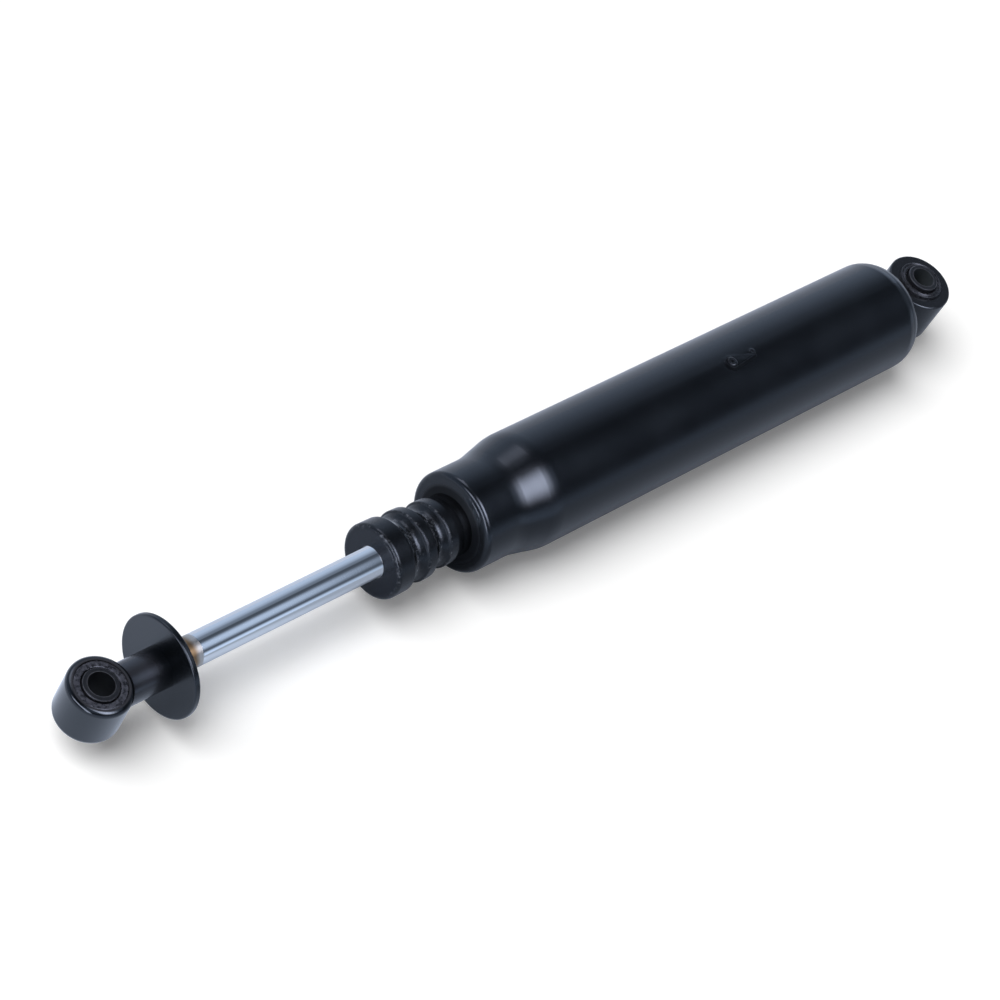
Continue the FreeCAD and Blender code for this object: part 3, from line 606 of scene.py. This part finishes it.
# Painted light and shade on the floor in the shine: a glow by the rod's eye and a darker floor in front of
# the tube
PAINTED_GLOW_AHEAD = 0.7
COOL_FLOOR = (0.6, 0.68, 0.83)
PAINTED_SHADE_FLOOR = (0.41, 0.46, 0.56)
BACK_FLOOR = (0.64, 0.71, 0.86)
COOL_AIR = (0.63, 0.765, 1.0)
COOL_BOX = (0.86, 0.87, 1.0)
AIR = 0.22


def make_floor():
    """A wide floor that keeps the shadow. It is white to the camera and cool in the shine, with painted
    shade in front of the tube and a painted glow by the rod's eye, both only in the shine.
    """
    shape = bmesh.new()
    bmesh.ops.create_circle(shape, cap_ends=True, segments=64, radius=12.0)
    bmesh.ops.translate(shape, verts=shape.verts, vec=(0.2, 0, FLOOR))
    mesh = bpy.data.meshes.new("floor")
    shape.to_mesh(mesh)
    shape.free()
    floor = bpy.data.objects.new("floor", mesh)
    scene.collection.objects.link(floor)
    material = bpy.data.materials.new("floor_white")
    material.use_nodes = True
    tree = material.node_tree
    tree.nodes.clear()
    path = add_node(tree, "LightPath")
    mirrored = path.outputs["Is Glossy Ray"]
    seen = maths(tree, "MAXIMUM", path.outputs["Is Camera Ray"], mirrored)
    seen = maths(tree, "MAXIMUM", seen, path.outputs["Is Transmission Ray"])
    split = add_node(tree, "SeparateXYZ", {"Vector": add_node(tree, "TexCoord").outputs["Object"]})
    # Painted glow in the shine, rising towards the rod's eye
    ahead = mapped(tree, split.outputs["X"], 400.0 * MM, 470.0 * MM)
    # Painted shade in the shine in front of the tube, which clears towards the rod
    clear = mapped(tree, split.outputs["X"], 300.0 * MM, 370.0 * MM)
    behind = mapped(tree, split.outputs["Y"], -40.0 * MM, 0.0, 1.0, 0.0)
    ahead = maths(tree, "MULTIPLY", mirrored, maths(tree, "MULTIPLY", ahead, PAINTED_GLOW_AHEAD))
    lift = maths(tree, "MULTIPLY_ADD", seen, FLOOR_GLOW, ahead)
    white = mixed_colour(tree, path.outputs["Is Camera Ray"], FLOOR_WHITE, WHITE)
    cool = mixed_colour(tree, behind, mixed_colour(tree, clear, PAINTED_SHADE_FLOOR, COOL_FLOOR), BACK_FLOOR)
    pale = mixed_colour(tree, mirrored, white, cool)
    matt = add_node(tree, "BsdfDiffuse", {"Color": pale})
    glow = add_node(tree, "Emission", {"Color": pale, "Strength": lift})
    both = add_node(tree, "AddShader", {0: matt.outputs["BSDF"], 1: glow.outputs["Emission"]})
    add_node(tree, "OutputMaterial", {"Surface": both.outputs["Shader"]})
    mesh.materials.append(material)


# Brightness of the studio by the angle round the shock, from the front floor over the top to the back
STUDIO = [(0, 0.75), (12, 0.68), (20, 0.38), (28, 0.18), (42, 0.13), (56, 0.19), (70, 0.23), (84, 0.18),
          (98, 0.13), (112, 0.16), (126, 0.36), (140, 0.66), (154, 0.88), (180, 1.0)]

# Soft bands of the boxes above, behind and beyond the rod's end: by the same angle, and along the shock
SOFTBOXES = [((28, 60, 66, 98, 16.0), (-0.5, -0.16, -0.1, 0.24, 1.0)),
             ((110, 132, 136, 156, 3.2), (-0.46, -0.2, 0.0, 0.22, 1.0)),
             ((2, 20, 118, 140, 10.0), (0.68, 0.76, 0.84, 0.92, 1.0))]


def make_studio():
    """A plain studio, white to the camera. Its shine is cool, with strips, softboxes and a wall."""
    world = bpy.data.worlds.new("studio")
    scene.world = world
    world.use_nodes = True
    tree = world.node_tree
    tree.nodes.clear()
    path = add_node(tree, "LightPath")
    glossy = path.outputs["Is Glossy Ray"]
    seen = maths(tree, "MAXIMUM", path.outputs["Is Camera Ray"], path.outputs["Is Transmission Ray"])
    split = add_node(tree, "SeparateXYZ", {"Vector": add_node(tree, "TexCoord").outputs["Generated"]})
    along = split.outputs["X"]
    round_x = maths(tree, "ABSOLUTE", maths(tree, "ARCTAN2", split.outputs["Z"], split.outputs["Y"]))
    angle = maths(tree, "DEGREES", round_x)
    ramp = add_node(tree, "ValToRGB", {"Fac": maths(tree, "DIVIDE", angle, 180.0)})
    stops = ramp.color_ramp.elements
    for place, _ in STUDIO[1:-1]:
        stops.new(place / 180)
    for stop, (place, level) in zip(stops, STUDIO):
        stop.position = place / 180
        stop.color = (level, level, level, 1.0)
    strip = maths(tree, "ADD", band(tree, angle, 30, 56, 70, 96, 0.75),
                  mapped(tree, angle, 12, 26, 0.5, 0.0))
    strip = maths(tree, "MULTIPLY", strip, mapped(tree, along, -0.61, -0.56))
    wall = mapped(tree, along, -0.82, -0.7, 0.16, 0.0)
    shine = maths(tree, "ADD", maths(tree, "ADD", strip, wall), ramp.outputs["Color"])
    level = maths(tree, "MULTIPLY_ADD", seen, 1.0 - AIR, AIR)
    level = maths(tree, "MULTIPLY_ADD", maths(tree, "SUBTRACT", shine, AIR), glossy, level)
    tint = mixed_colour(tree, glossy, WHITE, COOL_AIR)
    light = add_node(tree, "Background", {"Color": tint, "Strength": level})
    boxes = 0.0
    for angles, directions in SOFTBOXES:
        box = maths(tree, "MULTIPLY", band(tree, angle, *angles), band(tree, along, *directions))
        boxes = maths(tree, "ADD", boxes, box)
    boxes = maths(tree, "MULTIPLY", glossy, boxes)
    glow = add_node(tree, "Background", {"Color": (*COOL_BOX, 1.0), "Strength": boxes})
    both = add_node(tree, "AddShader", {0: light.outputs["Background"], 1: glow.outputs["Background"]})
    add_node(tree, "OutputWorld", {"Surface": both.outputs["Shader"]})


def make_sun():
    """A wide soft light from overhead, which isn't seen in the shine."""
    lamp = bpy.data.lights.new("overhead_soft", "SUN")
    lamp.energy = 2.9
    lamp.angle = math.radians(46)
    sun = bpy.data.objects.new("overhead_soft", lamp)
    scene.collection.objects.link(sun)
    sun.location = (0.6, -0.2, 0.9)
    sun.rotation_mode = "QUATERNION"
    sun.rotation_quaternion = Vector((-0.5, 0.22, -0.84)).to_track_quat("-Z", "Y")
    sun.visible_glossy = False


def make_camera():
    """The camera of the photograph, fitted to the outlines of the shock."""
    lens = bpy.data.cameras.new("camera")
    camera = bpy.data.objects.new("camera", lens)
    scene.collection.objects.link(camera)
    across = (-0.6964, 0.6071, 0.3827)
    up = (-0.3438, -0.7503, 0.5647)
    back = (0.6299, 0.2617, 0.7312)
    turn = Matrix((across, up, back)).transposed()
    place = (1.0271, 0.3175, 0.8859)
    camera.matrix_world = Matrix.Translation(place) @ turn.to_4x4()
    lens.sensor_width = 36.0
    lens.lens = 110.2
    lens.clip_start = 0.05
    lens.clip_end = 100.0
    scene.camera = camera


make_floor()
make_studio()
make_sun()
make_camera()
scene.view_settings.view_transform = "Standard"
